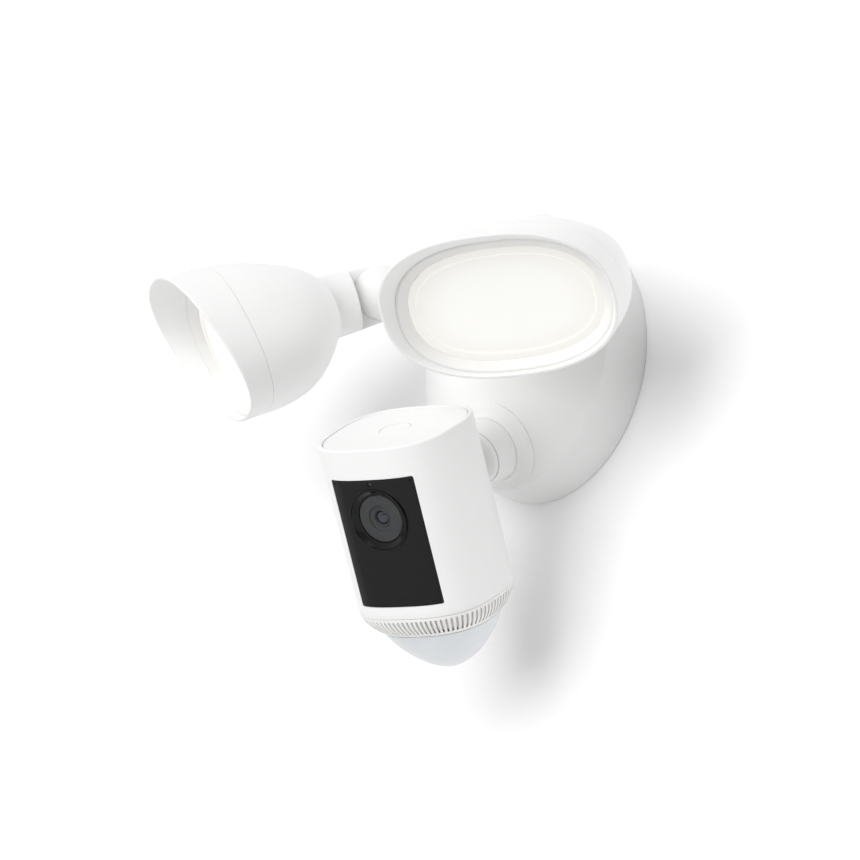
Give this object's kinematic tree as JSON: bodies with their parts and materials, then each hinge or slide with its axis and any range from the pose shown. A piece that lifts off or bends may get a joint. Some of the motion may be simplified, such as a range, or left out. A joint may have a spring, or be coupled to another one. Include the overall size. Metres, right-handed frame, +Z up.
{
  "type": "floodlight security camera",
  "caption": "Wall-mounted security camera with a domed round base, oval floodlights on knuckle arms and a ball-jointed camera with a motion sensor dome below it.",
  "frame": {"origin": "centre of the round base on the plane of the wall", "axes": "+Z up, -Y forward and away from the wall, +X to the right as seen from the front"},
  "size_m": [0.3714, 0.2076, 0.2716],
  "materials": {
    "white": "satin moulded white",
    "soft_white": "matt warm white",
    "black_gloss": "polished black",
    "dark_plastic": "matt dark grey",
    "rubber": "matt",
    "steel": "zinc plated",
    "aluminium": "bare die-cast",
    "board": "solder mask",
    "diffuser": "opal, lit from behind",
    "frosted": "translucent ribbed polyethylene",
    "lens_glass": "coated optical glass"
  },
  "bodies": {
    "wall_base": {"wall_bracket": "steel", "wall_gasket": "rubber", "back_cover": "dark_plastic", "lead_grommet": "rubber", "cover_screw_left": "steel", "cover_screw_right": "steel", "power_driver": "dark_plastic", "power_board": "board", "terminal_block": "soft_white", "control_board": "board", "base_housing": "white", "camera_boss": "white", "camera_boss_nut": "steel", "light_left_boss": "white", "light_left_boss_nut": "steel", "light_right_boss": "white", "light_right_boss_nut": "steel"},
    "left_arm": {"arm_left": "white", "arm_clip_left": "steel"},
    "left_light": {"light_shell_left": "white", "light_hood_left": "white", "lens_frame_left": "soft_white", "lens_gasket_left": "rubber", "diffuser_left": "diffuser", "led_board_left": "soft_white", "heat_sink_left": "aluminium", "knuckle_pin_left": "steel"},
    "right_arm": {"arm_right": "white", "arm_clip_right": "steel"},
    "right_light": {"light_shell_right": "white", "light_hood_right": "white", "lens_frame_right": "soft_white", "lens_gasket_right": "rubber", "diffuser_right": "diffuser", "led_board_right": "soft_white", "heat_sink_right": "aluminium", "knuckle_pin_right": "steel"},
    "camera_stem": {"swivel_collar": "white", "collar_clip": "steel", "ball_stem": "white"},
    "camera_pan_ring": {"ball_liner": "dark_plastic"},
    "camera_body": {"camera_housing": "white", "camera_top_cap": "white", "button_switch": "dark_plastic", "front_window": "black_gloss", "lens_bezel": "black_gloss", "lens_barrel": "dark_plastic", "lens_glass": "lens_glass", "light_sensor": "lens_glass", "camera_board": "board", "image_sensor": "dark_plastic", "siren_speaker": "dark_plastic", "vent_ring": "soft_white", "sensor_dome": "frosted", "motion_sensor": "steel", "sensor_board": "board"},
    "camera_button": {"setup_button": "white"}
  },
  "joints": [
    {"name": "left_light_swivel", "type": "hinge", "parent": "wall_base", "child": "left_arm", "pos_m": [-0.06938, -0.07176, 0.04662], "axis": [-0.4784, -0.8171, 0.3215], "range_deg": [-35, 35]},
    {"name": "left_light_bend", "type": "hinge", "parent": "left_arm", "child": "left_light", "pos_m": [-0.06938, -0.07176, 0.04662], "axis": [0.8413, -0.5315, -0.099], "range_deg": [-36, 43]},
    {"name": "right_light_swivel", "type": "hinge", "parent": "wall_base", "child": "right_arm", "pos_m": [0.06938, -0.07176, 0.04662], "axis": [0.4784, -0.8171, 0.3215], "range_deg": [-35, 35]},
    {"name": "right_light_bend", "type": "hinge", "parent": "right_arm", "child": "right_light", "pos_m": [0.06938, -0.07176, 0.04662], "axis": [0.8564, 0.5151, 0.0347], "range_deg": [-50, 18]},
    {"name": "camera_swivel", "type": "hinge", "parent": "wall_base", "child": "camera_stem", "pos_m": [0, -0.07637, -0.07662], "axis": [0, -0.849, -0.5284], "range_deg": [-30, 30]},
    {"name": "camera_pan", "type": "hinge", "parent": "camera_stem", "child": "camera_pan_ring", "pos_m": [0, -0.07637, -0.07662], "axis": [0.2167, -0.5054, 0.8352], "range_deg": [-32, 15]},
    {"name": "camera_tilt", "type": "hinge", "parent": "camera_pan_ring", "child": "camera_body", "pos_m": [0, -0.07637, -0.07662], "axis": [0.9644, 0.2439, -0.1026], "range_deg": [-24, 24]},
    {"name": "setup_button_press", "type": "slide", "parent": "camera_body", "child": "camera_button", "axis": [-0.2167, 0.5054, -0.8352], "range_m": [0, 0.0008], "stiffness_N_per_m": 450, "springref_m": -0.0002}
  ]
}
